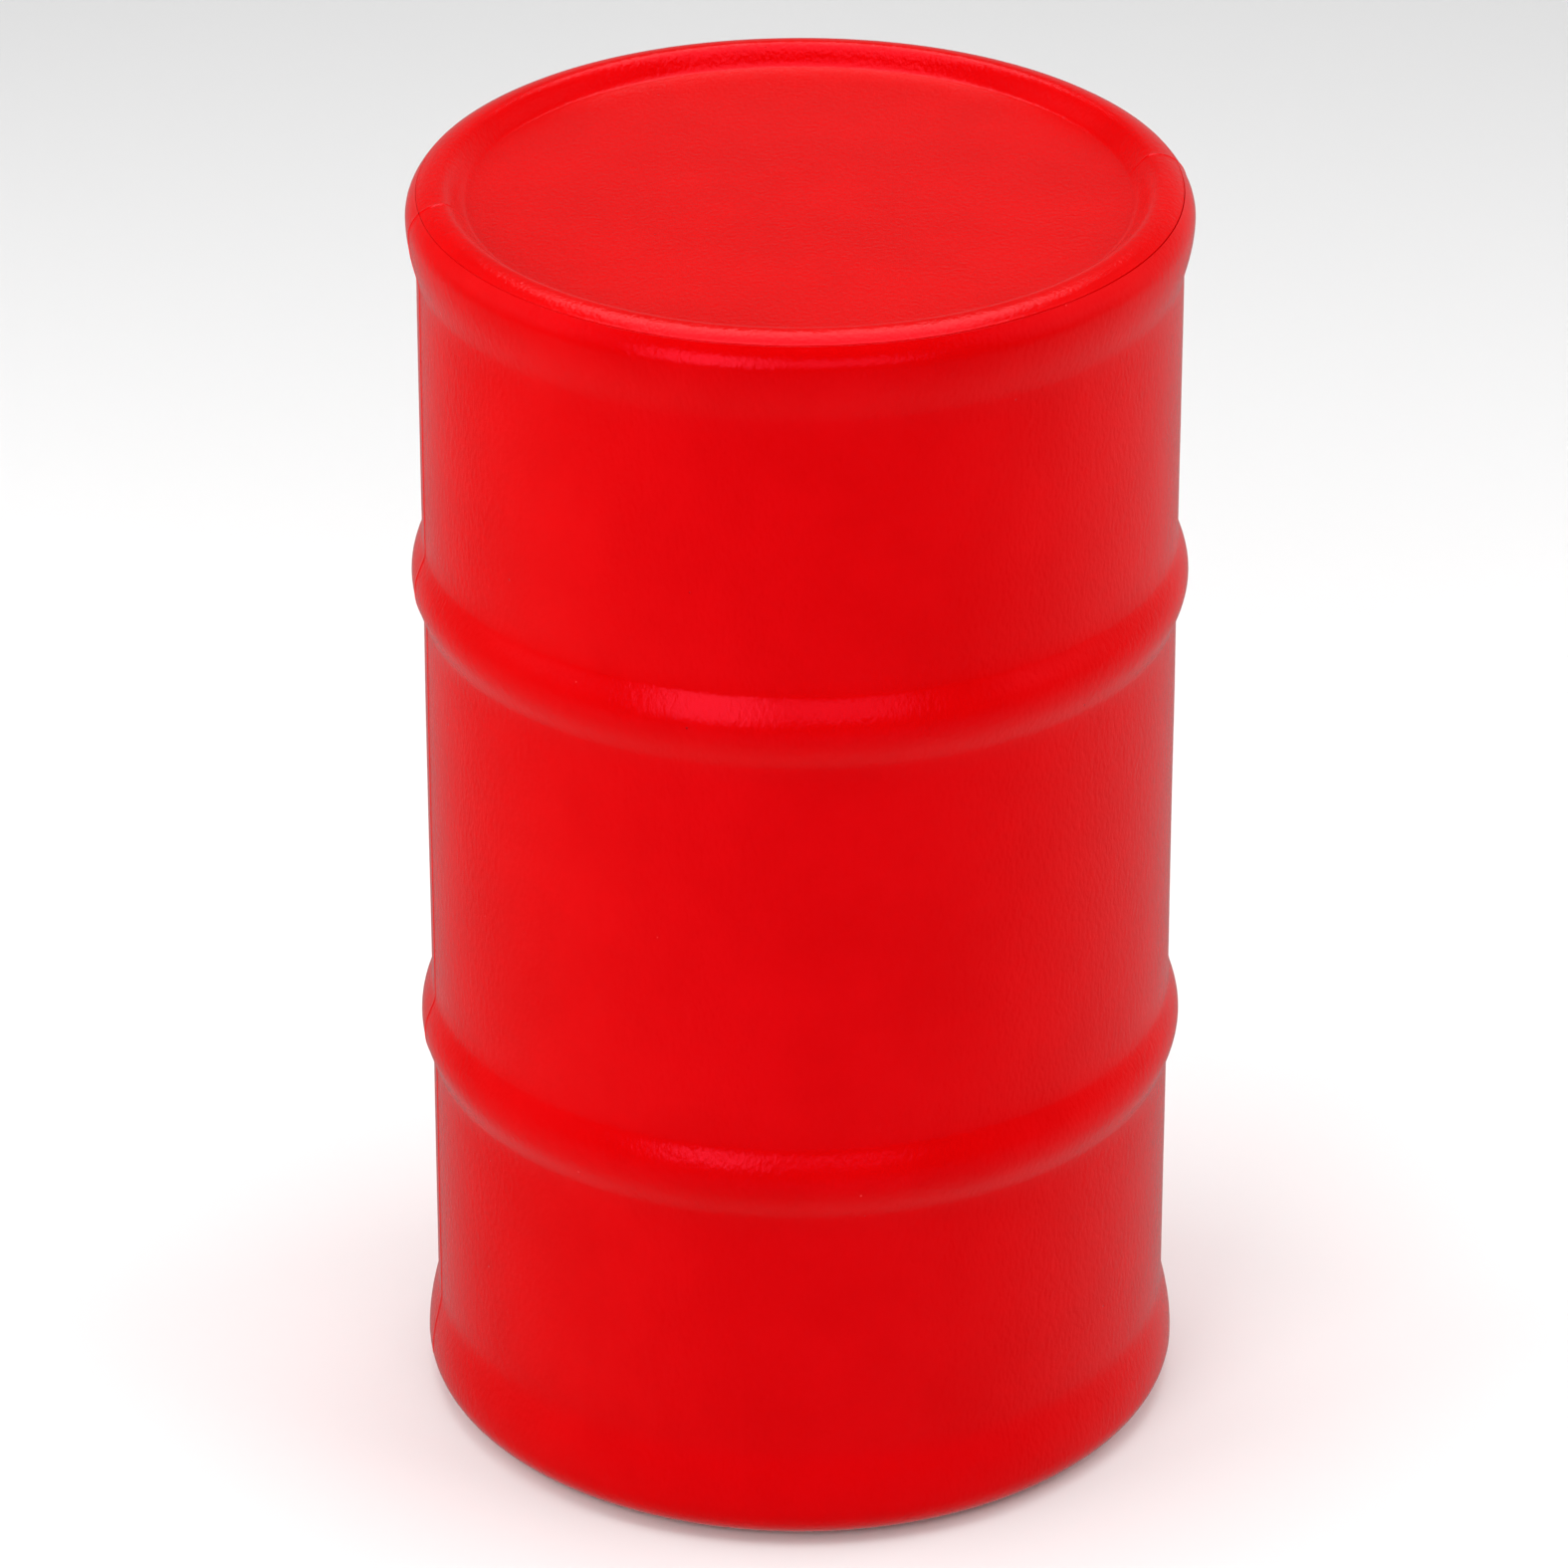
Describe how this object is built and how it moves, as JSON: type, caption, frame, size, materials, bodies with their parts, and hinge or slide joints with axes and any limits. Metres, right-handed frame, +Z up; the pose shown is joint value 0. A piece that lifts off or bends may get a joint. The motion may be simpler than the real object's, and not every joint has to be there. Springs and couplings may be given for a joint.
{
  "type": "traffic barrel drum",
  "caption": "Red plastic traffic drum: straight wall, two rolling hoops, lift-off recessed lid, sandbag ballast and a screwed drain at the back.",
  "frame": {"origin": "centre of the ring on which the drum stands, on the ground", "axes": "+Z up along the drum's axis, +Y towards the drain in the back wall, -Y towards the pictured side"},
  "size_m": [0.5324, 0.5322, 0.9144],
  "materials": {
    "red_plastic": "satin",
    "black_plastic": "satin",
    "black_rubber": "matte",
    "woven_bag": "matte",
    "sand": "matte",
    "twine": "matte"
  },
  "bodies": {
    "drum": {"drum_shell": "red_plastic", "drain_fitting": "black_plastic", "fitting_gasket": "black_rubber", "fitting_locknut": "black_plastic", "sandbag_1": "woven_bag", "sandbag_2": "woven_bag", "sandbag_3": "woven_bag", "sand_fill_1": "sand", "sand_fill_2": "sand", "sand_fill_3": "sand", "bag_tie_1": "twine", "bag_tie_2": "twine", "bag_tie_3": "twine"},
    "lid": {"lid": "red_plastic", "lid_gasket": "black_rubber"},
    "plug_washer": {"plug_seal": "black_rubber"},
    "plug": {"drain_plug": "black_plastic"}
  },
  "joints": [
    {"name": "lid_lift", "type": "slide", "parent": "drum", "child": "lid", "axis": [0, 0, 1], "range_m": [0, 0.35]},
    {"name": "plug_travel", "type": "slide", "parent": "drum", "child": "plug_washer", "axis": [0, 1, 0], "range_m": [0, 0.0241]},
    {"name": "plug_turn", "type": "hinge", "parent": "plug_washer", "child": "plug", "pos_m": [0, 0.25, 0.12], "axis": [0, 1, 0], "range_deg": [0, 2160]}
  ],
  "couplings": [
    {"joint": "plug_travel", "follows": "plug_turn", "m_per_rad": 0.00063662}
  ]
}
